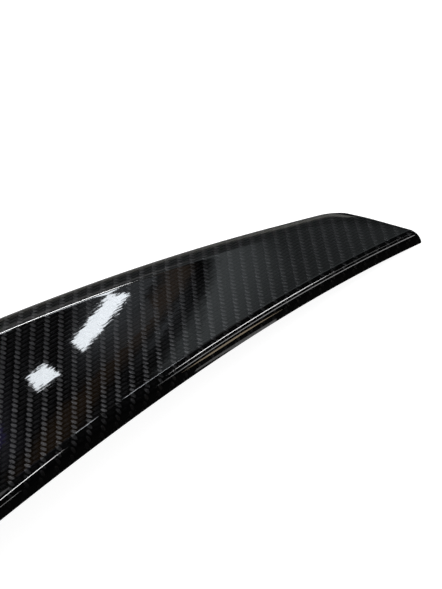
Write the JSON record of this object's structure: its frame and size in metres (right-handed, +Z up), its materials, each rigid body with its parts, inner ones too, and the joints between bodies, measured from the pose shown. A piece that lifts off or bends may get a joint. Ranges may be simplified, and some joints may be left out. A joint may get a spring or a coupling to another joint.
{
  "type": "boot lid spoiler",
  "caption": "Low ducktail lip spoiler for a car boot lid: a clear-coated twill carbon laminate with a hollow top, kicked-up crest, cut ends and bonding flanges underneath.",
  "frame": {"origin": "on the boot lid, at the middle of the spoiler's front edge", "axes": "+X across the car towards its right-hand end as seen from in front of the spoiler, +Y to the rear of the car, +Z up"},
  "size_m": [1.16, 0.1647, 0.075],
  "materials": {
    "carbon_laminate": "2x2 twill carbon fibre under a polished clear coat"
  },
  "bodies": {
    "root": {"spoiler": "carbon_laminate"}
  },
  "joints": []
}
